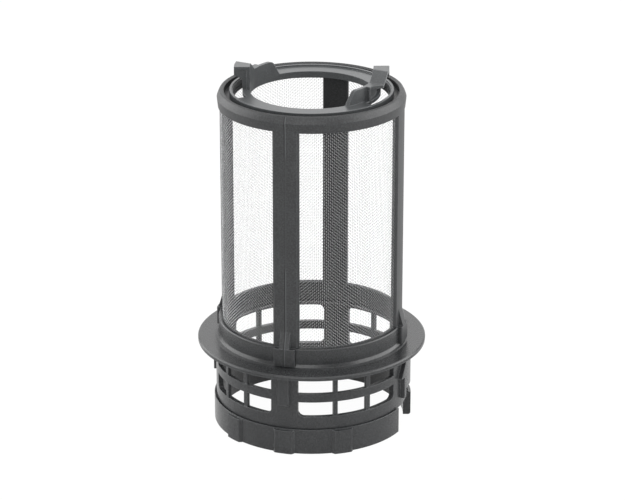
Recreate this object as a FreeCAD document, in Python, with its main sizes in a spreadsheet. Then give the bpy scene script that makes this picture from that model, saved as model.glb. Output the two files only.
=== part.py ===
import FreeCAD, Part
import math
import os
import Sketcher

# Dishwasher filter: a mesh cylinder with a grip ring on top, clipped into a flanged cage.
# Millimetres, +Z up, origin on the axis at the foot of the lobed ring.
# The four struts stand on the X and Y axes. Turns are in degrees from +X towards +Y.

# Driving dimensions, one spreadsheet cell each
sizes = {
    # flange and collar of the cage
    "flangeRadius": 47.5,
    "flangeTop": 37.0,
    "flangeThick": 1.7,
    "flangeBevel": 0.5,
    "rootReach": 2.1,
    "rootRise": 1.1,
    "collarRadius": 38.8,
    "collarWall": 1.4,
    "collarTop": 45.4,
    "collarSweep": 1.8,
    "collarHollow": 0.53,
    "lipBevel": 0.35,
    # cage wall, and the ledge that carries the hoop
    "cageRadius": 40.05,
    "cageWall": 2.1,
    "wallFoot": 10.3,
    "seatWidth": 1.9,
    "seatDepth": 1.6,
    # windows, bar and ribs
    "windowSill": 16.1,
    "windowHead": 34.0,
    "windowRound": 2.4,
    "pillarHalf": 8.2,
    "wideEnd": 74.0,
    "narrowEnd": 60.0,
    "barLow": 22.6,
    "barHigh": 26.2,
    "barDepth": 1.8,
    "ribHalf": 1.4,
    "ribDepth": 1.5,
    "ribRecess": 0.35,
    "wideRibTurn": 30.4,
    "wideRibPitch": 21.5,
    "narrowRibTurn": 27.0,
    "narrowRibPitch": 18.6,
    # lobed ring at the foot
    "ringRadius": 40.9,
    "ringBore": 38.6,
    "ringTop": 10.7,
    "ringGapHalf": 12.75,
    "ringGapTurn": 1.4,
    "ringEndRadius": 41.8,
    "ringEndHalf": 5.0,
    "ringEndRound": 1.1,
    "grooveWidth": 0.45,
    "grooveDepth": 1.2,
    "lobeRadius": 42.2,
    "lobeHalf": 6.2,
    "lobeTop": 10.2,
    "lobeBevel": 1.0,
    "lobePitch": 34.3,
    # plain lugs that hang under the flange, front and back
    "lugRadius": 41.9,
    "lugHalf": 3.5,
    "lugFoot": 21.2,
    "lugBevel": 0.5,
    # ramped lugs on the two sides, their outline seen from outside
    "rampFoot": 23.4,
    "rampReach": 7.6,
    "rampHeadReach": 1.2,
    "rampHead": 36.0,
    "tongueReach": 4.6,
    "tongueFoot": 13.8,
    "tongueInner": 2.6,
    "plateFoot": 17.5,
    "plateReach": 5.0,
    # struts and hoop of the mesh frame
    "strutStand": 1.0,
    "strutHalf": 8.5,
    "strutTaper": 0.9,
    "strutInside": 1.0,
    "hoopClearance": 0.1,
    "strutClearance": 0.1,
    # clip blocks of the mesh frame, in notches of the collar
    "blockRadius": 40.4,
    "blockHalf": 6.5,
    "blockBevel": 0.4,
    "blockTop": 45.5,
    "blockFoot": 38.1,
    "notchClearance": 0.15,
    "wedgeHalf": 3.0,
    "wedgeRise": 7.0,
    # mesh tube
    "meshRadius": 37.05,
    "meshWall": 0.25,
    "meshFoot": 41.0,
    "meshHead": 139.5,
    "threadWidth": 0.8,
    # top ring of the mesh frame
    "bandReach": 1.0,
    "topReach": 1.4,
    "shoulderReach": 0.9,
    "crownReach": 0.25,
    "crestInset": 0.35,
    "topFoot": 137.2,
    "beadTop": 141.0,
    "shoulderTop": 142.4,
    "crownTop": 143.6,
    "topTop": 143.95,
    "topLip": 143.5,
    "topInset": 1.45,
    "floorTop": 141.0,
    "floorThick": 1.4,
    "floorInset": 5.45,
    # grip ring
    "gripRadius": 33.3,
    "gripWall": 1.3,
    "gripTop": 144.0,
    "rimWidth": 1.0,
    "ledgeTop": 143.35,
    "ledgeBore": 25.0,
    "ledgeThick": 1.4,
    "skirtFoot": 140.7,
    "skirtWall": 1.3,
    "cutHalf": 29.9,
    "cutTurn": 6.7,
    "cutBore": 28.0,
    # finger grips: a curved fin that climbs to a plateau and on to a paddle
    "finThick": 1.4,
    "finHalf": 30.0,
    "finTurn": -12.0,
    "climbFoot": 12.5,
    "climbTop": 9.5,
    "plateauEnd": 2.8,
    "paddleStart": 7.8,
    "climbRound": 2.4,
    "plateauTop": 149.3,
    "paddleTop": 153.2,
    "shelfThick": 1.3,
    "shelfHalf": 18.0,
    "spreadFoot": 1.5,
    "spreadTop": 2.0,
    "paddleThick": 1.8,
    "paddleTurn": 15.5,
    "paddleReach": 31.4,
    "paddleBevel": 1.3,
    "armFoot": 149.6,
    "armHaunch": 1.6,
    "postReach": 28.0,
    "webThick": 1.2,
    "webTurn": -17.0,
    # how far a tool runs past what it cuts, and a piece into what carries it
    "overrun": 3.0,
    "sink": 1.0,
}

# What is counted
strutCount = 4
lobesPerSide = 3
gapColumns = 10
gapRows = 3
frontTurn = -90.0
backTurn = 90.0
# where a whole turn starts and ends: clear of windows, lugs and struts
seamTurn = 22.0

document = FreeCAD.newDocument("dishwasher_filter")
sheet = document.addObject("Spreadsheet::Sheet", "dims")
for row, (alias, size) in enumerate(sizes.items(), start=1):
    sheet.set(f"A{row}", alias)
    sheet.set(f"B{row}", str(size))
    sheet.setAlias(f"B{row}", alias)
document.recompute()


def amount(text):
    # The number that a sum of named sizes comes to, such as "cageRadius - cageWall"
    total = 0.0
    sign = 1.0
    for word in text.split():
        if word in "+-":
            sign = -1.0 if word == "-" else 1.0
        else:
            total += sign * (sizes[word] if word in sizes else float(word))
    return total


def linked(text):
    # The same sum as an expression on the sheet's cells
    return " ".join(f"dims.{word}" if word in sizes else word for word in text.split())


def originPlane(body, role):
    return next(feature for feature in body.Origin.OriginFeatures if feature.Role == role)


def outline(body, name, role, points):
    # A closed sketch whose corners are named sums, so that it follows the sheet
    sketch = body.newObject("Sketcher::SketchObject", name)
    sketch.AttachmentSupport = [(originPlane(body, role), "")]
    sketch.MapMode = "FlatFace"
    corners = [FreeCAD.Vector(amount(across), amount(up), 0) for across, up in points]
    count = len(corners)
    for index in range(count):
        sketch.addGeometry(Part.LineSegment(corners[index], corners[(index + 1) % count]), False)
    for index in range(count):
        sketch.addConstraint(Sketcher.Constraint("Coincident", index, 2, (index + 1) % count, 1))
    for index, (across, up) in enumerate(points):
        for kind, text in (("DistanceX", across), ("DistanceY", up)):
            place = sketch.addConstraint(
                Sketcher.Constraint(kind, -1, 1, index, 1, amount(text))
            )
            sketch.setExpression(f"Constraints[{place}]", linked(text))
    return sketch


def spun(turn):
    return FreeCAD.Placement(
        FreeCAD.Vector(), FreeCAD.Rotation(FreeCAD.Vector(0, 0, 1), turn)
    )


def turned(name, points, half=None, turn=seamTurn):
    # A profile revolved about the axis, all the way round or by half a span each side of a turn
    body = document.addObject("PartDesign::Body", name)
    sketch = outline(body, name + "Outline", "XZ_Plane", points)
    revolution = body.newObject("PartDesign::Revolution", name + "Turn")
    revolution.Profile = sketch
    revolution.ReferenceAxis = (sketch, ["V_Axis"])
    if half is None:
        revolution.Angle = 360
    else:
        revolution.Midplane = True
        revolution.setExpression("Angle", f"2 * ({linked(half)})")
    body.Placement = spun(turn)
    document.recompute()
    return body


def padded(name, role, points, length, turn=0.0, midplane=False):
    # A profile on one of the body's planes, given a thickness
    body = document.addObject("PartDesign::Body", name)
    sketch = outline(body, name + "Outline", role, points)
    pad = body.newObject("PartDesign::Pad", name + "Pad")
    pad.Profile = sketch
    pad.Midplane = midplane
    pad.setExpression("Length", linked(length))
    body.Placement = spun(turn)
    document.recompute()
    return body


def block(inner, outer, low, high):
    # The four corners of a plain profile
    return [(inner, low), (outer, low), (outer, high), (inner, high)]


def edgesWhere(shape, test):
    return [f"Edge{index + 1}" for index, edge in enumerate(shape.Edges) if test(edge)]


def isRing(radius, height):
    # Picks whole or part circles of one radius at one height
    def test(edge):
        curve = edge.Curve
        if not isinstance(curve, Part.Circle):
            return False
        return (
            abs(curve.Radius - amount(radius)) < 0.001
            and abs(edge.BoundBox.ZMin - amount(height)) < 0.001
            and edge.BoundBox.ZLength < 0.001
        )
    return test


def isUpright(radius):
    # Picks the upright edges of a sector at one radius
    def test(edge):
        start = edge.Vertexes[0].Point
        return (
            edge.BoundBox.ZLength > 0.5
            and abs(math.hypot(start.x, start.y) - amount(radius)) < 0.001
        )
    return test


def isSpoke(edge):
    # Picks the radial edges of a sector
    start = edge.Vertexes[0].Point
    end = edge.Vertexes[-1].Point
    reach = abs(math.hypot(start.x, start.y) - math.hypot(end.x, end.y))
    return edge.BoundBox.ZLength < 0.001 and reach > 0.2


def dressed(body, kind, size, test):
    # Rounds or bevels the edges of a body's last feature that the test picks
    base = body.Tip
    edges = edgesWhere(base.Shape, test)
    if not edges:
        raise ValueError(f"{body.Name}: no edge for its {kind}")
    feature = body.newObject("PartDesign::" + kind, f"{body.Name}{kind}{len(body.Group)}")
    feature.Base = (base, edges)
    feature.setExpression("Radius" if kind == "Fillet" else "Size", linked(size))
    document.recompute()
    return body


def common(name, base, tool):
    both = document.addObject("Part::Common", name)
    both.Base = base
    both.Tool = tool
    document.recompute()
    return both


def joined(name, pieces):
    fuse = document.addObject("Part::MultiFuse", name)
    fuse.Shapes = pieces
    fuse.Refine = True
    document.recompute()
    return fuse


def cutBy(name, base, tools):
    cut = document.addObject("Part::Cut", name)
    cut.Base = base
    cut.Tool = tools[0] if len(tools) == 1 else joined(name + "Tools", tools)
    cut.Refine = True
    document.recompute()
    return cut


def named(feature, label):
    feature.Label = label
    return feature


# Lower cage

def cageWall():
    # Wall, flange and collar in one profile, with the inside ledge that the hoop stands on
    bore = "cageRadius - cageWall"
    collarBore = "collarRadius - collarWall"
    flangeFoot = "flangeTop - flangeThick"
    points = [
        (bore, "wallFoot"),
        ("cageRadius", "wallFoot"),
        ("cageRadius", flangeFoot + " - rootRise"),
        ("cageRadius + rootReach", flangeFoot),
        ("flangeRadius", flangeFoot),
        ("flangeRadius", "flangeTop"),
        ("collarRadius + collarSweep", "flangeTop"),
        ("collarRadius + collarHollow", "flangeTop + collarHollow"),
        ("collarRadius", "flangeTop + collarSweep"),
        ("collarRadius", "collarTop"),
        (collarBore, "collarTop"),
        (collarBore, "blockFoot"),
        (bore + " - seatWidth", "blockFoot"),
        (bore + " - seatWidth", "blockFoot - seatDepth"),
        (bore, "blockFoot - seatDepth - seatWidth"),
    ]
    body = turned("cageWall", points)
    dressed(body, "Chamfer", "flangeBevel", isRing("flangeRadius", "flangeTop"))
    dressed(body, "Chamfer", "lipBevel", isRing("collarRadius", "collarTop"))
    return body


def bays():
    # The four window bays: where each starts, which way it runs, and its kind. The two kinds
    # alternate, so that the cage looks the same after half a turn.
    return [
        (frontTurn, 1, "wide"),
        (frontTurn, -1, "narrow"),
        (backTurn, 1, "wide"),
        (backTurn, -1, "narrow"),
    ]


def windowOpenings():
    # One tall opening with round corners in each bay; bar and ribs are set into it
    openings = []
    for side, direction, kind in bays():
        middle = (amount("pillarHalf") + amount(kind + "End")) / 2
        body = turned(
            f"opening{len(openings)}",
            block("cageRadius - cageWall - overrun", "cageRadius + overrun", "windowSill", "windowHead"),
            f"0.5 * {kind}End - 0.5 * pillarHalf",
            side + direction * middle,
        )
        dressed(body, "Fillet", "windowRound", isSpoke)
        openings.append(body)
    return openings


def windowGrille():
    # A bar all round, and two thinner ribs in each bay that stand a little behind it
    bar = turned("windowBar", block("cageRadius - barDepth", "cageRadius", "barLow", "barHigh"))
    ribs = []
    for side, direction, kind in bays():
        first = amount(kind + "RibTurn")
        for offset in (first, first + amount(kind + "RibPitch")):
            rib = turned(
                f"rib{len(ribs)}",
                block(
                    "cageRadius - ribRecess - ribDepth",
                    "cageRadius - ribRecess",
                    "windowSill - sink",
                    "windowHead + sink",
                ),
                "ribHalf",
                side + direction * offset,
            )
            ribs.append(rib)
    return [bar] + ribs


def lobedRing():
    # The thick ring at the foot is open on one side, where one end is thicker
    ring = turned(
        "footRing",
        block("ringBore", "ringRadius", "0", "ringTop"),
        "180 - ringGapHalf",
        180 + amount("ringGapTurn"),
    )
    end = turned(
        "ringEnd",
        block("ringBore", "ringEndRadius", "0", "wallFoot"),
        "ringEndHalf",
        amount("ringGapTurn") + amount("ringGapHalf") + amount("ringEndHalf"),
    )
    dressed(end, "Fillet", "ringEndRound", isRing("ringEndRadius", "0"))
    lobes = []
    for side in (frontTurn, backTurn):
        for place in range(lobesPerSide):
            step = place - (lobesPerSide - 1) / 2
            lobe = turned(
                f"lobe{len(lobes)}",
                block("ringRadius - sink", "lobeRadius", "0", "lobeTop"),
                "lobeHalf",
                side + step * amount("lobePitch"),
            )
            dressed(lobe, "Chamfer", "lobeBevel", isUpright("lobeRadius"))
            lobes.append(lobe)
    return [ring, end] + lobes


def plainLugs():
    lugs = []
    for side in (frontTurn, backTurn):
        lug = turned(
            f"lug{len(lugs)}",
            block("cageRadius - sink", "lugRadius", "lugFoot", "flangeTop - sink"),
            "lugHalf",
            side,
        )
        dressed(lug, "Chamfer", "lugBevel", isUpright("lugRadius"))
        lugs.append(lug)
    return lugs


def rampedLugs():
    # A plate with one slanted edge, a step under it and a narrow tongue that runs on down
    points = [
        ("0 - rampReach", "rampFoot"),
        ("0 - tongueReach", "rampFoot"),
        ("0 - tongueReach", "tongueFoot"),
        ("0 - tongueInner", "tongueFoot"),
        ("0 - tongueInner", "plateFoot"),
        ("plateReach", "plateFoot"),
        ("plateReach", "rampHead"),
        ("rampHeadReach", "rampHead"),
    ]
    lugs = []
    for turn in (0.0, 180.0):
        key = len(lugs)
        plate = padded(f"rampPlate{key}", "YZ_Plane", points, "lugRadius + sink", turn)
        skin = turned(
            f"rampSkin{key}",
            block("cageRadius - sink", "lugRadius", "tongueFoot - sink", "rampHead + sink"),
            "45",
            turn,
        )
        lugs.append(common(f"rampLug{key}", plate, skin))
    return lugs


def collarNotches():
    # Each clip block of the frame sits in a notch of the collar
    return [
        turned(
            f"notch{index}",
            block(
                "collarRadius - collarWall - sink",
                "collarRadius + overrun",
                "blockFoot",
                "collarTop + overrun",
            ),
            "blockHalf + notchClearance",
            index * 360 / strutCount,
        )
        for index in range(strutCount)
    ]


def lowerCage():
    groove = turned(
        "ringGroove",
        block("cageRadius", "cageRadius + grooveWidth", "ringTop - grooveDepth", "ringTop + overrun"),
        "180 - ringGapHalf",
        180 + amount("ringGapTurn"),
    )
    walls = cutBy("cageOpened", cageWall(), windowOpenings())
    whole = joined(
        "cageWhole", [walls] + windowGrille() + lobedRing() + plainLugs() + rampedLugs()
    )
    return named(cutBy("lowerCage", whole, collarNotches() + [groove]), "lower_cage")


# Mesh frame and mesh

def topRing():
    # A channel: crowned outer lip over a band that draws in below it, and a floor inside
    inner = "meshRadius - meshWall - strutInside"
    points = [
        ("meshRadius + bandReach", "topFoot"),
        ("meshRadius + topReach", "beadTop"),
        ("meshRadius + shoulderReach", "shoulderTop"),
        ("meshRadius + crownReach", "crownTop"),
        ("meshRadius - crestInset", "topTop"),
        ("meshRadius - topInset", "topLip"),
        ("meshRadius - topInset", "floorTop"),
        ("meshRadius - floorInset", "floorTop"),
        ("meshRadius - floorInset", "floorTop - floorThick"),
        (inner, "floorTop - floorThick"),
        (inner, "topFoot"),
    ]
    return turned("topRing", points)


def strut(index):
    # Bevelled outside, with a plain rib inside the mesh; it stands on the hoop, clear of the collar
    inner = "meshRadius - meshWall - strutInside"
    hoopRadius = "collarRadius - collarWall - hoopClearance"
    points = [
        (inner, "blockFoot"),
        (hoopRadius, "blockFoot"),
        (hoopRadius, "collarTop + strutClearance"),
        ("meshRadius + strutStand", "collarTop + strutClearance"),
        ("meshRadius + strutStand", "topFoot + sink"),
        (inner, "topFoot + sink"),
    ]
    body = turned(f"strut{index}", points, "strutHalf", index * 360 / strutCount)
    dressed(body, "Chamfer", "strutTaper", isUpright("meshRadius + strutStand"))
    return body


def clip(index):
    # The block that fills the collar's notch, and the wedge that runs up from it
    turn = index * 360 / strutCount
    foot = turned(
        f"clip{index}",
        block("meshRadius", "blockRadius", "blockFoot", "blockTop"),
        "blockHalf",
        turn,
    )
    dressed(foot, "Chamfer", "blockBevel", isUpright("blockRadius"))
    wedge = turned(
        f"wedge{index}",
        [
            ("meshRadius", "blockTop - sink"),
            ("blockRadius - blockBevel", "blockTop - sink"),
            ("blockRadius - blockBevel", "blockTop"),
            ("meshRadius + strutStand", "blockTop + wedgeRise"),
            ("meshRadius", "blockTop + wedgeRise"),
        ],
        "wedgeHalf",
        turn,
    )
    return [foot, wedge]


def meshTube(name):
    return turned(name, block("meshRadius - meshWall", "meshRadius", "meshFoot", "meshHead"))


def meshFrame():
    hoop = turned(
        "hoop",
        block(
            "meshRadius - meshWall - strutInside",
            "collarRadius - collarWall - hoopClearance",
            "blockFoot",
            "collarTop",
        ),
    )
    pieces = [topRing(), hoop]
    for index in range(strutCount):
        pieces.append(strut(index))
        pieces.extend(clip(index))
    whole = joined("frameWhole", pieces)
    return named(cutBy("meshFrame", whole, [meshTube("meshSlot")]), "mesh_frame")


def filterMesh():
    # The sheet's threads, drawn coarse: a grid of gaps in each bay between the struts
    thread = amount("threadWidth")
    radius = amount("meshRadius")
    bay = math.radians(360 / strutCount - 2 * amount("strutHalf")) * radius
    pitch = (bay - thread) / gapColumns
    rise = (amount("topFoot - collarTop") - thread) / gapRows
    span = f"({360 / strutCount} - 2 * dims.strutHalf) * pi / 180 * dims.meshRadius"
    gaps = []
    for column in range(strutCount * gapColumns):
        step = column % gapColumns - (gapColumns - 1) / 2
        middle = (column // gapColumns + 0.5) * 360 / strutCount
        turn = middle + math.degrees(step * pitch / radius)
        for gapRow in range(gapRows):
            gap = document.addObject("Part::Box", f"gap{column}_{gapRow}")
            gap.setExpression("Length", "2 * dims.overrun")
            gap.setExpression(
                "Width", f"({span} - dims.threadWidth) / {gapColumns} - dims.threadWidth"
            )
            gap.setExpression(
                "Height",
                f"(dims.topFoot - dims.collarTop - dims.threadWidth) / {gapRows} - dims.threadWidth",
            )
            corner = FreeCAD.Vector(radius - amount("overrun"), (thread - pitch) / 2, 0)
            spin = FreeCAD.Rotation(FreeCAD.Vector(0, 0, 1), turn)
            corner = spin.multVec(corner)
            corner.z = amount("collarTop") + thread + gapRow * rise
            gap.Placement = FreeCAD.Placement(corner, spin)
            gaps.append(gap)
    every = document.addObject("Part::Compound", "meshGaps")
    every.Links = gaps
    return named(cutBy("filterMesh", meshTube("meshCloth"), [every]), "filter_mesh")


# Grip ring

def gripBase():
    # Outer wall with a raised rim, flat ledge and the skirt at its inner edge
    points = [
        ("gripRadius", "floorTop"),
        ("gripRadius", "gripTop"),
        ("gripRadius - rimWidth", "gripTop"),
        ("gripRadius - rimWidth", "ledgeTop"),
        ("ledgeBore", "ledgeTop"),
        ("ledgeBore", "skirtFoot"),
        ("ledgeBore + skirtWall", "skirtFoot"),
        ("ledgeBore + skirtWall", "ledgeTop - ledgeThick"),
        ("gripRadius - gripWall", "ledgeTop - ledgeThick"),
        ("gripRadius - gripWall", "floorTop"),
    ]
    return turned("gripBase", points)


def gripCut(turn):
    # The ledge is open outboard of each finger grip
    return turned(
        f"gripCut{int(turn)}",
        block(
            "cutBore",
            "gripRadius - gripWall",
            "ledgeTop - ledgeThick - sink",
            "ledgeTop + overrun",
        ),
        "cutHalf",
        turn + amount("cutTurn"),
    )


def isAlong(places):
    # Picks the edges that run out from the axis at one of the places, each across and up
    def test(edge):
        start = edge.Vertexes[0].Point
        return edge.BoundBox.XLength > 1 and any(
            abs(start.y - amount(across)) < 0.001 and abs(start.z - amount(up)) < 0.001
            for across, up in places
        )
    return test


def climb(name, turn, lower):
    # The side view of a grip: foot, plateau and the rise to the paddle, with soft corners
    upper = [
        ("0 - climbFoot", "ledgeTop"),
        ("0 - climbTop", "plateauTop"),
        ("plateauEnd", "plateauTop"),
        ("paddleStart", "paddleTop"),
        ("gripRadius", "paddleTop"),
    ]
    body = padded(name, "YZ_Plane", upper + lower, "paddleReach + sink", turn + amount("finTurn"))
    dressed(body, "Fillet", "climbRound", isAlong(upper[1:4]))
    return body


def fingerGrip(turn):
    # Fin, shelf with its web, and the radial paddle whose arm reaches over the groove
    key = int(turn)
    finSide = climb(
        f"finSide{key}",
        turn,
        [("gripRadius", "ledgeTop - sink"), ("0 - climbFoot", "ledgeTop - sink")],
    )
    finRing = turned(
        f"finRing{key}",
        block("ledgeBore", "ledgeBore + finThick", "ledgeTop - sink", "paddleTop + sink"),
        "finHalf",
        turn + amount("finTurn"),
    )
    shelfSide = climb(
        f"shelfSide{key}",
        turn,
        [
            ("gripRadius", "paddleTop - shelfThick"),
            ("paddleStart", "paddleTop - shelfThick"),
            ("plateauEnd", "plateauTop - shelfThick"),
            ("0 - climbTop", "plateauTop - shelfThick"),
        ],
    )
    shelfRing = turned(
        f"shelfRing{key}",
        block("ledgeBore", "paddleReach", "gripTop", "paddleTop + sink"),
        "shelfHalf",
        turn,
    )
    # in plan the shelf is narrow on the plateau and spreads as it climbs
    shelfPlan = padded(
        f"shelfPlan{key}",
        "XY_Plane",
        [
            ("ledgeBore - overrun", "0 - climbFoot"),
            ("postReach", "0 - climbFoot"),
            ("postReach", "0 - spreadFoot"),
            ("paddleReach", "spreadTop"),
            ("paddleReach", "gripRadius"),
            ("ledgeBore - overrun", "gripRadius"),
        ],
        "paddleTop + sink",
        turn + amount("finTurn"),
    )
    paddle = padded(
        f"paddle{key}",
        "XZ_Plane",
        [
            ("ledgeBore", "ledgeTop - sink"),
            ("postReach", "ledgeTop - sink"),
            ("postReach", "armFoot - armHaunch"),
            ("paddleReach", "armFoot"),
            ("paddleReach", "paddleTop - paddleBevel"),
            ("paddleReach - paddleBevel", "paddleTop"),
            ("ledgeBore", "paddleTop"),
        ],
        "paddleThick",
        turn + amount("paddleTurn"),
        True,
    )
    web = padded(
        f"web{key}",
        "XZ_Plane",
        block("ledgeBore", "postReach", "ledgeTop - sink", "plateauTop - shelfThick"),
        "webThick",
        turn + amount("webTurn"),
        True,
    )
    fin = common(f"fin{key}", finRing, finSide)
    shelf = common(f"shelf{key}", common(f"shelfSpread{key}", shelfRing, shelfPlan), shelfSide)
    return [fin, shelf, paddle, web]


def handleRing():
    base = cutBy("gripOpened", gripBase(), [gripCut(0.0), gripCut(180.0)])
    return named(joined("handleRing", [base] + fingerGrip(0.0) + fingerGrip(180.0)), "handle_ring")


def checked(feature):
    shape = feature.Shape
    if shape.isNull() or not shape.isValid():
        raise ValueError(f"{feature.Label} has no valid shape")
    if len(shape.Solids) != 1:
        raise ValueError(f"{feature.Label} is {len(shape.Solids)} solids")
    return shape


pieces = [lowerCage(), meshFrame(), filterMesh(), handleRing()]
document.recompute()
for feature in document.Objects:
    if "Invalid" in feature.State or "Error" in feature.State:
        raise ValueError(f"{feature.Label} failed: {feature.State}")
os.makedirs("parts", exist_ok=True)
for piece in pieces:
    shape = checked(piece)
    shape.exportStep(f"parts/{piece.Label}.step")
    print(piece.Label, "volume", round(shape.Volume, 1), "box", shape.BoundBox)
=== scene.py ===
import bpy
import math
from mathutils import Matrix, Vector


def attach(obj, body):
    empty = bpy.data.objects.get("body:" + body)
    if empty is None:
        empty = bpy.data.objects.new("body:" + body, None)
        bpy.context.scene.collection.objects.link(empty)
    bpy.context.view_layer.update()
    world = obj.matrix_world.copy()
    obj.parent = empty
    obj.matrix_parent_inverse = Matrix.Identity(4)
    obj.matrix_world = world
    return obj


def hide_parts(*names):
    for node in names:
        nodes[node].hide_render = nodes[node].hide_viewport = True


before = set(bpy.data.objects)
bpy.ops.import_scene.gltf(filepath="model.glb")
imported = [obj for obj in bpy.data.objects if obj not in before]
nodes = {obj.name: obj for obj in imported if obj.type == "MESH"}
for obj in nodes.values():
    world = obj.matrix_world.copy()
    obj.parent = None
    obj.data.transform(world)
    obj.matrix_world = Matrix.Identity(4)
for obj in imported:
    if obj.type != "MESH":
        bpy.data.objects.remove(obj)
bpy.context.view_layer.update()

meshMiddle = 0.036925  # radius at the middle of the mesh wall in the CAD


def pickNone():
    if bpy.context.object and bpy.context.object.mode != "OBJECT":
        bpy.ops.object.mode_set(mode="OBJECT")
    bpy.ops.object.select_all(action="DESELECT")


def pickOnly(piece):
    pickNone()
    piece.select_set(True)
    bpy.context.view_layer.objects.active = piece


def pickVertices(piece, test):  # leaves the piece in edit mode with the wanted vertices picked
    bpy.ops.mesh.select_all(action="DESELECT")
    bpy.ops.object.mode_set(mode="OBJECT")
    for vertex in piece.data.vertices:
        vertex.select = test(vertex.co)
    bpy.ops.object.mode_set(mode="EDIT")
    bpy.ops.mesh.select_mode(type="VERT")


def applyAll(piece):
    pickOnly(piece)
    for modifier in list(piece.modifiers):
        bpy.ops.object.modifier_apply(modifier=modifier.name)


def dress(piece, material):
    piece.data.materials.clear()
    piece.data.materials.append(material)


def newGroup(name, inputs, outputs):
    group = bpy.data.node_groups.new(name, "ShaderNodeTree")
    for label, kind, start in inputs:
        socket = group.interface.new_socket(label, in_out="INPUT", socket_type=kind)
        if start is not None:
            socket.default_value = start
    for label, kind in outputs:
        group.interface.new_socket(label, in_out="OUTPUT", socket_type=kind)
    return group, group.nodes.new("NodeGroupInput"), group.nodes.new("NodeGroupOutput")


def newMaterial(name):
    material = bpy.data.materials.new(name)
    material.use_nodes = True
    return material, material.node_tree


def addNode(tree, kind, **values):
    node = tree.nodes.new(kind)
    for key, value in values.items():
        setattr(node, key, value)
    return node


def calculate(tree, operation, *values, clamp=False):  # each value is a number or a socket
    node = addNode(tree, "ShaderNodeMath", operation=operation, use_clamp=clamp)
    for socket, value in zip(node.inputs, values):
        if isinstance(value, (int, float)):
            socket.default_value = value
        else:
            tree.links.new(value, socket)
    return node.outputs["Value"]


def mixColours(tree, share, first, second):  # each colour is three numbers or a socket
    node = addNode(tree, "ShaderNodeMix", data_type="RGBA")
    tree.links.new(share, node.inputs["Factor"])
    for label, colour in (("A", first), ("B", second)):
        if isinstance(colour, tuple):
            node.inputs[label].default_value = (*colour, 1)
        else:
            tree.links.new(colour, node.inputs[label])
    return node.outputs["Result"]


def addNoise(tree, place, size, detail=None):
    noise = addNode(tree, "ShaderNodeTexNoise")
    noise.inputs["Scale"].default_value = size
    if detail is not None:
        noise.inputs["Detail"].default_value = detail
    tree.links.new(place.outputs["Object"], noise.inputs["Vector"])
    return noise


# moulded plastics: the effects that they share, then a finish for each piece

mould = {
    "grainDepth": 0.00006,
    "cloudSize": 55.0,
    "mottleSize": 1600.0,
    "cloudShare": 0.16,
    "mottleShare": 0.5,
    "roughSpread": 0.12,
    "specular": 0.30,
    "edgeRoundRadius": 0.00035,
    "highlightTurn": (0.985, 0.80),  # cosine of the turn where the painted edge highlight begins and where it is full
}


def makeGrainGroup():
    # fine eroded grain of the mould with a slow cloudiness under it
    group, start, end = newGroup(
        "mouldGrain",
        [("Fine Size", "NodeSocketFloat", None), ("Bump", "NodeSocketFloat", None)],
        [
            ("Cloud", "NodeSocketFloat"),
            ("Mottle", "NodeSocketFloat"),
            ("Speck", "NodeSocketFloat"),
            ("Normal", "NodeSocketVector"),
        ],
    )
    links = group.links
    place = addNode(group, "ShaderNodeTexCoord")
    fine = addNoise(group, place, 0.0, detail=3.0)
    fine.inputs["Roughness"].default_value = 0.6
    links.new(start.outputs["Fine Size"], fine.inputs["Scale"])
    cloud = addNoise(group, place, mould["cloudSize"], detail=4.0)
    mottle = addNoise(group, place, mould["mottleSize"], detail=1.0)
    bump = addNode(group, "ShaderNodeBump")
    bump.inputs["Distance"].default_value = mould["grainDepth"]
    links.new(start.outputs["Bump"], bump.inputs["Strength"])
    links.new(fine.outputs["Fac"], bump.inputs["Height"])
    links.new(cloud.outputs["Fac"], end.inputs["Cloud"])
    links.new(mottle.outputs["Fac"], end.inputs["Mottle"])
    links.new(fine.outputs["Fac"], end.inputs["Speck"])
    links.new(bump.outputs["Normal"], end.inputs["Normal"])
    return group


def makeEdgeGroup():
    # how far a rounded-off normal turns away from the face: a painted highlight along the sharp edges,
    # and the rounded normal for shading
    group, start, end = newGroup(
        "edgeRoundAndHighlight",
        [("Radius", "NodeSocketFloat", mould["edgeRoundRadius"]), ("Normal", "NodeSocketVector", None)],
        [("Edge", "NodeSocketFloat"), ("Normal", "NodeSocketVector")],
    )
    links = group.links
    bevel = addNode(group, "ShaderNodeBevel", samples=6)
    links.new(start.outputs["Radius"], bevel.inputs["Radius"])
    links.new(start.outputs["Normal"], bevel.inputs["Normal"])
    shape = addNode(group, "ShaderNodeNewGeometry")
    turned = addNode(group, "ShaderNodeVectorMath", operation="DOT_PRODUCT")
    links.new(bevel.outputs["Normal"], turned.inputs[0])
    links.new(shape.outputs["Normal"], turned.inputs[1])
    ramp = addNode(group, "ShaderNodeMapRange", interpolation_type="SMOOTHSTEP")
    ramp.inputs["From Min"].default_value = mould["highlightTurn"][0]
    ramp.inputs["From Max"].default_value = mould["highlightTurn"][1]
    links.new(turned.outputs["Value"], ramp.inputs["Value"])
    links.new(ramp.outputs["Result"], end.inputs["Edge"])
    links.new(bevel.outputs["Normal"], end.inputs["Normal"])
    return group


parting = {
    "width": 0.0004,
    "middle": 0.103,  # the height about which the line is faint
    "clearHalf": 0.022,
    "fade": 0.004,
    "faint": 0.25,
    "outsideBy": 0.0004,  # only what stands this far out from the mesh has the line
    # lip and darkness set the painted highlight on the lip and the painted shade in the step
    "lip": 0.45,
    "stepShade": 0.3,
}


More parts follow.
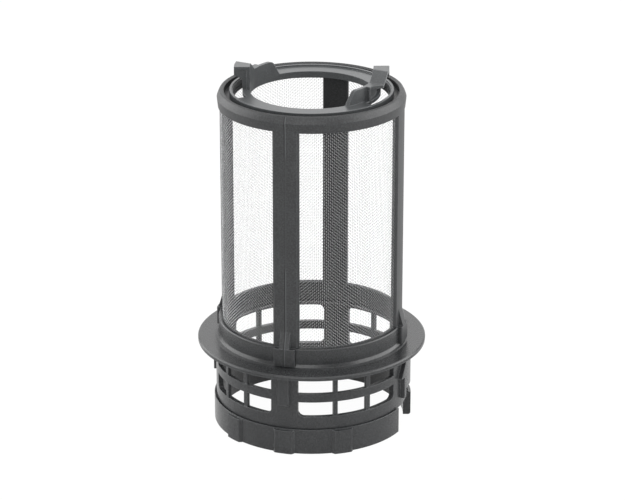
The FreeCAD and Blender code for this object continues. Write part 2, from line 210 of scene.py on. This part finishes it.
def makePartingGroup():
    # the mould halves meet where x is 0: painted shade in the step and a painted highlight on its lip,
    # faint at mid height
    group, start, end = newGroup(
        "partingLine",
        [
            ("Width", "NodeSocketFloat", parting["width"]),
            ("Middle", "NodeSocketFloat", parting["middle"]),
            ("Clear Half", "NodeSocketFloat", parting["clearHalf"]),
        ],
        [("Step Shade", "NodeSocketFloat"), ("Light", "NodeSocketFloat")],
    )
    links = group.links
    place = addNode(group, "ShaderNodeTexCoord")
    split = addNode(group, "ShaderNodeSeparateXYZ")
    links.new(place.outputs["Object"], split.inputs[0])
    flat = addNode(group, "ShaderNodeVectorMath", operation="MULTIPLY")
    flat.inputs[1].default_value = (1, 1, 0)
    links.new(place.outputs["Object"], flat.inputs[0])
    reach = addNode(group, "ShaderNodeVectorMath", operation="LENGTH")
    links.new(flat.outputs["Vector"], reach.inputs[0])
    outside = calculate(group, "GREATER_THAN", reach.outputs["Value"], meshMiddle + parting["outsideBy"])
    away = calculate(group, "SUBTRACT", split.outputs["Z"], start.outputs["Middle"])
    heightFade = addNode(group, "ShaderNodeMapRange", interpolation_type="SMOOTHSTEP")
    heightFade.inputs["To Min"].default_value = parting["faint"]
    links.new(calculate(group, "ABSOLUTE", away), heightFade.inputs["Value"])
    links.new(start.outputs["Clear Half"], heightFade.inputs["From Min"])
    farther = calculate(group, "ADD", start.outputs["Clear Half"], parting["fade"])
    links.new(farther, heightFade.inputs["From Max"])
    strength = calculate(group, "MULTIPLY", heightFade.outputs["Result"], outside)
    half = calculate(group, "MULTIPLY", start.outputs["Width"], 0.5)
    for label, side, most in (("Step Shade", -0.5, 1.0), ("Light", 0.5, parting["lip"])):
        middle = calculate(group, "MULTIPLY", start.outputs["Width"], side)
        near = calculate(group, "COMPARE", split.outputs["X"], middle, half)
        inside = calculate(group, "MULTIPLY", near, strength)
        links.new(calculate(group, "MULTIPLY", inside, most), end.inputs[label])
    return group


grainGroup = makeGrainGroup()
edgeRoundAndHighlightGroup = makeEdgeGroup()
partingGroup = makePartingGroup()

# each finish's light colour serves both the plastic's own cloudy tone and the painted highlights on edges
# and on the parting-line lip
plasticFinish = {
    "cage": {
        "colour": (0.017, 0.0175, 0.018),
        "tintAndHighlight": (0.085, 0.089, 0.093),
        "roughness": 0.27,
        "fineSize": 4200.0,
        "bump": 0.16,
        "parting": False,
    },
    "frame": {
        "colour": (0.016, 0.0165, 0.017),
        "tintAndHighlight": (0.085, 0.089, 0.093),
        "roughness": 0.46,
        "fineSize": 4600.0,
        "bump": 0.13,
        "parting": True,
    },
    "grip": {
        "colour": (0.035, 0.037, 0.038),
        "tintAndHighlight": (0.110, 0.115, 0.120),
        "roughness": 0.34,
        "fineSize": 4600.0,
        "bump": 0.12,
        "parting": False,
    },
}


def makePlastic(name, finish):
    material, tree = newMaterial(name)
    links = tree.links
    shader = tree.nodes["Principled BSDF"]
    shader.inputs["IOR"].default_value = 1.5
    shader.inputs["Specular IOR Level"].default_value = mould["specular"]
    grain = addNode(tree, "ShaderNodeGroup", node_tree=grainGroup)
    grain.inputs["Fine Size"].default_value = finish["fineSize"]
    grain.inputs["Bump"].default_value = finish["bump"]
    edge = addNode(tree, "ShaderNodeGroup", node_tree=edgeRoundAndHighlightGroup)
    links.new(grain.outputs["Normal"], edge.inputs["Normal"])
    links.new(edge.outputs["Normal"], shader.inputs["Normal"])
    # lighter in clouds and specks of the plastic's own tone, and with a painted highlight along the sharp
    # edges and on the lip of the parting line
    mottle = calculate(
        tree, "MULTIPLY_ADD", grain.outputs["Mottle"], mould["mottleShare"], -mould["mottleShare"] / 2
    )
    share = calculate(tree, "MULTIPLY_ADD", grain.outputs["Cloud"], mould["cloudShare"], mottle)
    tintAndHighlightShare = calculate(tree, "MAXIMUM", share, edge.outputs["Edge"], clamp=True)
    if finish["parting"]:
        line = addNode(tree, "ShaderNodeGroup", node_tree=partingGroup)
        tintAndHighlightShare = calculate(tree, "MAXIMUM", tintAndHighlightShare, line.outputs["Light"], clamp=True)
    colour = mixColours(tree, tintAndHighlightShare, finish["colour"], finish["tintAndHighlight"])
    # painted shade in the step of the parting line
    if finish["parting"]:
        stepShadeColour = tuple(value * parting["stepShade"] for value in finish["colour"])
        colour = mixColours(tree, line.outputs["Step Shade"], colour, stepShadeColour)
    links.new(colour, shader.inputs["Base Color"])
    least = finish["roughness"] - mould["roughSpread"] / 2
    rough = calculate(tree, "MULTIPLY_ADD", grain.outputs["Speck"], mould["roughSpread"], least)
    links.new(rough, shader.inputs["Roughness"])
    return material


dress(nodes["lower_cage"], makePlastic("cagePlastic", plasticFinish["cage"]))
dress(nodes["mesh_frame"], makePlastic("framePlastic", plasticFinish["frame"]))
dress(nodes["handle_ring"], makePlastic("gripPlastic", plasticFinish["grip"]))
print("plastics done")


# woven cloth: one warp pair and one weft pair, arrayed over a bay

weave = {
    "radius": meshMiddle,
    "foot": 0.041,
    "head": 0.1395,
    "bays": 4,
    "firstTurn": 7.0,  # degrees from +X to the first bay's cloth
    "span": 76.0,  # degrees that the cloth of a bay covers, its sides inside the struts
    "columns": 62,
    "rows": 144,
    "warpCuts": (11, 11),  # twelve times twelve lengths, one for each row
    "threadRadius": 0.00014,
    "wave": 0.00008,
    "roughness": 0.35,
    "colour": (0.93, 0.94, 0.95),
    "shade": 0.86,
    "shadeSize": 900.0,
    "shadowColour": (0.06, 0.06, 0.06),
    "show": (0.005, 0.29),  # how solid a thread looks away from its painted highlight marks and on them
    "markEdge": (0.3, 0.9),
    "slant": 0.30,
    "herringbones": 6.667,
    "fallingMiddle": -52.0,  # the turn about which the slants fall to the right
}


rise = (weave["head"] - weave["foot"]) / weave["rows"]
step = math.radians(weave["span"]) / weave["columns"]
bayTurn = 2 * math.pi / weave["bays"]


def makeThreadHighlightGroup():
    # painted highlight marks along the threads, set so that they line up in slants that turn about in
    # herringbone
    group, _, end = newGroup(
        "threadHighlight",
        [],
        [("Warp", "NodeSocketFloat"), ("Weft", "NodeSocketFloat")],
    )
    links = group.links
    place = addNode(group, "ShaderNodeTexCoord")
    split = addNode(group, "ShaderNodeSeparateXYZ")
    links.new(place.outputs["Object"], split.inputs[0])
    angle = calculate(group, "ARCTAN2", split.outputs["Y"], split.outputs["X"])
    fromFirst = calculate(group, "SUBTRACT", angle, math.radians(weave["firstTurn"]))
    across = calculate(group, "DIVIDE", calculate(group, "FLOORED_MODULO", fromFirst, bayTurn), step)
    fromFoot = calculate(group, "SUBTRACT", split.outputs["Z"], weave["foot"])
    upward = calculate(group, "DIVIDE", fromFoot, rise)
    # where along its two-thread repeat each thread is: a warp comes out at 0, a weft at 1
    warpPlace = calculate(group, "ADD", upward, calculate(group, "ROUND", across))
    weftPlace = calculate(group, "ADD", across, calculate(group, "ROUND", upward))
    fromMiddle = calculate(group, "SUBTRACT", angle, math.radians(weave["fallingMiddle"]))
    falling = calculate(group, "COSINE", calculate(group, "MULTIPLY", fromMiddle, weave["herringbones"]))
    weftMiddle = calculate(group, "MULTIPLY_ADD", falling, -weave["slant"], 1.0)
    for label, along, middle in (("Warp", warpPlace, weave["slant"]), ("Weft", weftPlace, weftMiddle)):
        fromMark = calculate(group, "SUBTRACT", along, middle)
        wave = calculate(group, "COSINE", calculate(group, "MULTIPLY", fromMark, math.pi))
        ramp = addNode(group, "ShaderNodeMapRange", interpolation_type="SMOOTHSTEP")
        ramp.inputs["From Min"].default_value = weave["markEdge"][0]
        ramp.inputs["From Max"].default_value = weave["markEdge"][1]
        links.new(wave, ramp.inputs["Value"])
        links.new(ramp.outputs["Result"], end.inputs[label])
    return group


threadHighlightGroup = makeThreadHighlightGroup()


def makeThreadMaterial(name, family):
    material, tree = newMaterial(name)
    links = tree.links
    shader = tree.nodes["Principled BSDF"]
    shader.inputs["Roughness"].default_value = weave["roughness"]
    highlightMarks = addNode(tree, "ShaderNodeGroup", node_tree=threadHighlightGroup)
    solid = addNode(tree, "ShaderNodeMapRange")
    solid.inputs["To Min"].default_value = weave["show"][0]
    solid.inputs["To Max"].default_value = weave["show"][1]
    links.new(highlightMarks.outputs[family], solid.inputs["Value"])
    # the camera sees mostly the painted highlight marks, and every other ray meets the whole thread, dark
    path = addNode(tree, "ShaderNodeLightPath")
    unseen = calculate(tree, "SUBTRACT", 1.0, path.outputs["Is Camera Ray"])
    links.new(calculate(tree, "MAXIMUM", solid.outputs["Result"], unseen), shader.inputs["Alpha"])
    place = addNode(tree, "ShaderNodeTexCoord")
    noise = addNoise(tree, place, weave["shadeSize"])
    shaded = tuple(value * weave["shade"] for value in weave["colour"])
    tone = mixColours(tree, noise.outputs["Fac"], shaded, weave["colour"])
    seen = mixColours(tree, path.outputs["Is Camera Ray"], weave["shadowColour"], tone)
    links.new(seen, shader.inputs["Base Color"])
    return material


def makeWarp(phase):  # one upright thread on the +X side, its rings set in and out by turns
    pickNone()
    middle = (weave["foot"] + weave["head"]) / 2
    bpy.ops.mesh.primitive_cylinder_add(
        vertices=3,
        radius=weave["threadRadius"],
        depth=weave["head"] - weave["foot"],
        location=(weave["radius"], 0, middle),
    )
    thread = bpy.context.object
    bpy.ops.object.transform_apply(location=True, rotation=True, scale=True)
    bpy.ops.object.mode_set(mode="EDIT")
    bpy.ops.mesh.select_mode(type="EDGE")
    for cuts in weave["warpCuts"]:
        bpy.ops.mesh.select_all(action="DESELECT")
        bpy.ops.object.mode_set(mode="OBJECT")
        points = thread.data.vertices
        for edge in thread.data.edges:
            low, high = (points[index].co.z for index in edge.vertices)
            edge.select = abs(low - high) > rise / 2
        bpy.ops.object.mode_set(mode="EDIT")
        bpy.ops.mesh.subdivide(number_cuts=cuts)
    for parity in (0, 1):
        pickVertices(thread, lambda co: round((co.z - weave["foot"]) / rise) % 2 == parity)
        shift = weave["wave"] if parity == phase else -weave["wave"]
        bpy.ops.transform.translate(value=(shift, 0, 0))
    bpy.ops.object.mode_set(mode="OBJECT")
    return thread


def makeWeft(phase, height):  # one thread round a bay, spun from a small triangle
    pickNone()
    bpy.ops.mesh.primitive_circle_add(
        vertices=3,
        radius=weave["threadRadius"],
        fill_type="NGON",
        location=(weave["radius"], 0, height),
        rotation=(math.radians(90), 0, 0),
    )
    thread = bpy.context.object
    bpy.ops.object.transform_apply(location=True, rotation=True, scale=True)
    bpy.ops.object.mode_set(mode="EDIT")
    bpy.ops.mesh.select_all(action="SELECT")
    bpy.ops.mesh.spin(
        steps=weave["columns"], angle=-math.radians(weave["span"]), center=(0, 0, 0), axis=(0, 0, 1)
    )
    for parity in (0, 1):
        pickVertices(thread, lambda co: round(math.atan2(co.y, co.x) / step) % 2 == parity)
        shift = -weave["wave"] if parity == phase else weave["wave"]
        factor = 1 + shift / weave["radius"]
        bpy.ops.transform.resize(value=(factor, factor, 1), center_override=(0, 0, 0))
    bpy.ops.mesh.select_all(action="SELECT")
    bpy.ops.mesh.normals_make_consistent(inside=False)
    bpy.ops.object.mode_set(mode="OBJECT")
    return thread


def joinAll(pieces, name):
    pickOnly(pieces[0])
    for piece in pieces:
        piece.select_set(True)
    bpy.ops.object.join()
    whole = bpy.context.object
    whole.name = name
    return whole


def turnMesh(piece, turn):
    pickOnly(piece)
    bpy.ops.object.mode_set(mode="EDIT")
    bpy.ops.mesh.select_all(action="SELECT")
    # with no window the rotation runs the other way, so the turn is given with its sign changed
    bpy.ops.transform.rotate(value=-turn, orient_axis="Z", center_override=(0, 0, 0))
    bpy.ops.object.mode_set(mode="OBJECT")


def makePanel():
    # warp pair arrayed round the bay by a turned empty, weft pair arrayed upwards
    first = makeWarp(0)
    second = makeWarp(1)
    turnMesh(second, step)
    warp = joinAll([first, second], "warp")
    bpy.ops.object.empty_add(rotation=(0, 0, 2 * step))
    guide = bpy.context.object
    pickOnly(warp)
    bpy.ops.object.origin_set(type="ORIGIN_CURSOR")
    spread = warp.modifiers.new("round", "ARRAY")
    spread.count = weave["columns"] // 2
    spread.use_relative_offset = False
    spread.use_object_offset = True
    spread.offset_object = guide
    applyAll(warp)
    dress(warp, makeThreadMaterial("warpThread", "Warp"))
    bpy.data.objects.remove(guide)
    lower = makeWeft(1, weave["foot"] + rise)
    upper = makeWeft(0, weave["foot"] + 2 * rise)
    weft = joinAll([lower, upper], "weft")
    spread = weft.modifiers.new("up", "ARRAY")
    spread.count = weave["rows"] // 2 - 1
    spread.use_relative_offset = False
    spread.use_constant_offset = True
    spread.constant_offset_displace = (0, 0, 2 * rise)
    applyAll(weft)
    dress(weft, makeThreadMaterial("weftThread", "Weft"))
    return joinAll([warp, weft], "meshPanel")


firstPanel = makePanel()
turnMesh(firstPanel, math.radians(weave["firstTurn"]))
panels = [firstPanel]
for bay in range(1, weave["bays"]):
    pickOnly(firstPanel)
    bpy.ops.object.duplicate()
    panel = bpy.context.object
    turnMesh(panel, bayTurn * bay)
    panel.name = f"meshPanel{bay}"
    panels.append(panel)
for panel in panels:
    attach(panel, "root")
    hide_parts("filter_mesh")
print("cloth done, faces in a bay", len(firstPanel.data.polygons))


# floor, light and camera

studio = {
    "floorRadius": 6.0,
    "floorColour": (0.90, 0.90, 0.90),
    "floorGlow": 0.97,
    "ambient": 0.80,
    "nearSide": (0.279, -0.960, 0.0),
    "nearFade": (-0.15, 0.6),
    "nearLevel": 0.55,
    "cameraPlace": (0.2946, -1.0140, 0.4795),
    "cameraAim": (0.0, 0.0, 0.07379),
    "lens": 157.4,
    "sensor": 36.0,
    "shiftX": 0.0014,
    "lampAim": (0.0, 0.0, 0.08),
    "lamps": [
        # azimuth from the camera, elevation, distance, width, height, watts
        ("leftBox", -104, 14, 1.3, 1.8, 1.6, 34.0),
        ("rightBox", 88, 14, 1.3, 1.8, 1.6, 42.0),
        ("backBox", 174, 34, 1.3, 1.3, 0.9, 3.8),
        ("topBox", 8, 80, 1.0, 1.2, 1.2, 7.0),
        ("frontFill", -12, 24, 1.3, 0.9, 0.7, 8.4),
    ],
}


def brightRays(tree, path):  # 1 for the rays that see the backdrop, straight, in gloss or through
    seen = calculate(tree, "MAXIMUM", path.outputs["Is Camera Ray"], path.outputs["Is Glossy Ray"])
    return calculate(tree, "MAXIMUM", seen, path.outputs["Is Transmission Ray"])


def makeBackdropMaterial():
    material, tree = newMaterial("paleFloor")
    tree.nodes.clear()
    links = tree.links
    diffuse = addNode(tree, "ShaderNodeBsdfDiffuse")
    diffuse.inputs["Color"].default_value = (*studio["floorColour"], 1)
    glow = addNode(tree, "ShaderNodeEmission")
    path = addNode(tree, "ShaderNodeLightPath")
    mix = addNode(tree, "ShaderNodeMixShader")
    links.new(calculate(tree, "MULTIPLY", brightRays(tree, path), studio["floorGlow"]), mix.inputs["Fac"])
    links.new(diffuse.outputs["BSDF"], mix.inputs[1])
    links.new(glow.outputs["Emission"], mix.inputs[2])
    end = addNode(tree, "ShaderNodeOutputMaterial")
    links.new(mix.outputs["Shader"], end.inputs["Surface"])
    return material


def makeFloor():
    pickNone()
    bpy.ops.mesh.primitive_circle_add(
        vertices=96, radius=studio["floorRadius"], fill_type="NGON", location=(0, 0, 0)
    )
    floor = bpy.context.object
    floor.name = "paleFloor"
    dress(floor, makeBackdropMaterial())


def makeWorld():
    world = bpy.data.worlds.new("studioWorld")
    bpy.context.scene.world = world
    world.use_nodes = True
    tree = world.node_tree
    links = tree.links
    background = tree.nodes["Background"]
    background.inputs["Color"].default_value = (1, 1, 1, 1)
    path = addNode(tree, "ShaderNodeLightPath")
    # the backdrop is bright behind and beside the object, and the room dim on the near side
    place = addNode(tree, "ShaderNodeTexCoord")
    facing = addNode(tree, "ShaderNodeVectorMath", operation="DOT_PRODUCT")
    facing.inputs[1].default_value = studio["nearSide"]
    links.new(place.outputs["Generated"], facing.inputs[0])
    room = addNode(tree, "ShaderNodeMapRange", interpolation_type="SMOOTHSTEP")
    room.inputs["From Min"].default_value = studio["nearFade"][0]
    room.inputs["From Max"].default_value = studio["nearFade"][1]
    room.inputs["To Min"].default_value = 1.0
    room.inputs["To Max"].default_value = studio["nearLevel"]
    links.new(facing.outputs["Value"], room.inputs["Value"])
    level = addNode(tree, "ShaderNodeMapRange")
    level.inputs["To Min"].default_value = studio["ambient"]
    level.inputs["To Max"].default_value = 1.0
    links.new(brightRays(tree, path), level.inputs["Value"])
    shaded = calculate(tree, "MULTIPLY", level.outputs["Result"], room.outputs["Result"])
    whole = calculate(tree, "MAXIMUM", shaded, path.outputs["Is Camera Ray"])
    links.new(whole, background.inputs["Strength"])


def around(azimuth, elevation, distance, centre):
    # a place seen from the centre: azimuth 0 is towards the camera, positive to its right
    eye = Vector(studio["cameraPlace"]) - Vector(studio["cameraAim"])
    towards = math.atan2(eye.y, eye.x) + math.radians(azimuth)
    tilt = math.radians(elevation)
    return centre + distance * Vector(
        (math.cos(tilt) * math.cos(towards), math.cos(tilt) * math.sin(towards), math.sin(tilt))
    )


def aimAt(piece, target):
    piece.rotation_euler = (target - piece.location).to_track_quat("-Z", "Y").to_euler()


def makeLamps():
    centre = Vector(studio["lampAim"])
    for name, azimuth, elevation, distance, width, height, watts in studio["lamps"]:
        lamp = bpy.data.lights.new(name, "AREA")
        lamp.shape = "RECTANGLE"
        lamp.size = width
        lamp.size_y = height
        lamp.energy = watts
        holder = bpy.data.objects.new(name, lamp)
        bpy.context.scene.collection.objects.link(holder)
        holder.location = around(azimuth, elevation, distance, centre)
        aimAt(holder, centre)


def makeCamera():
    lens = bpy.data.cameras.new("photoCamera")
    lens.lens = studio["lens"]
    lens.sensor_width = studio["sensor"]
    lens.shift_x = studio["shiftX"]
    holder = bpy.data.objects.new("photoCamera", lens)
    bpy.context.scene.collection.objects.link(holder)
    holder.location = studio["cameraPlace"]
    aimAt(holder, Vector(studio["cameraAim"]))
    bpy.context.scene.camera = holder


makeFloor()
makeWorld()
makeLamps()
makeCamera()
bpy.context.scene.view_settings.view_transform = "Standard"
print("studio done")

pickNone()
